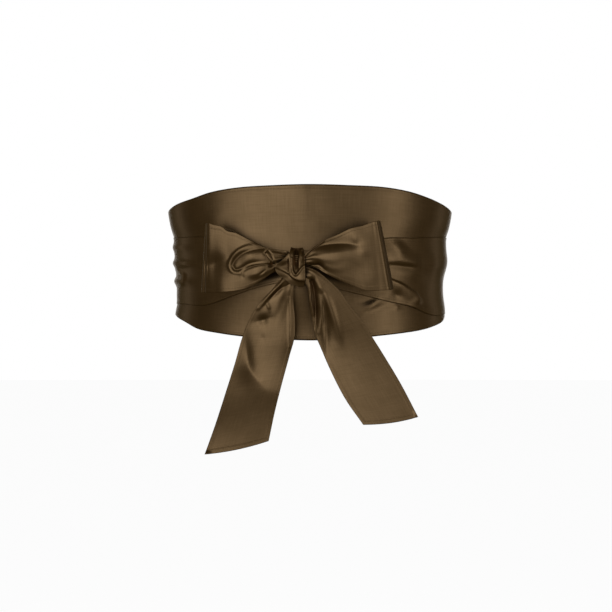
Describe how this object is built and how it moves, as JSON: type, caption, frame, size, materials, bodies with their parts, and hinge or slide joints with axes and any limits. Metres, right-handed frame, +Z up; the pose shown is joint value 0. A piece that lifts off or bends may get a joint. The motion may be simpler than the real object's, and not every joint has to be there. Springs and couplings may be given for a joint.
{
  "type": "obi sash",
  "caption": "Wide satin sash worn round a waist, with a shaped front panel and ties that cross behind and end in a bow in front.",
  "frame": {"origin": "centre of the waist hollow, at the height of the bow's knot", "axes": "+Z up, +X to the right as the front is seen, and the bow faces -Y"},
  "size_m": [0.2695, 0.2263, 0.2448],
  "materials": {
    "satin": "dark bronze brown satin with a soft sheen and a fine slub"
  },
  "bodies": {
    "root": {"front_panel": "satin", "wrap_left": "satin", "wrap_right": "satin", "loop_left": "satin", "loop_right": "satin", "knot": "satin", "tail_left": "satin", "tail_right": "satin"}
  },
  "joints": []
}
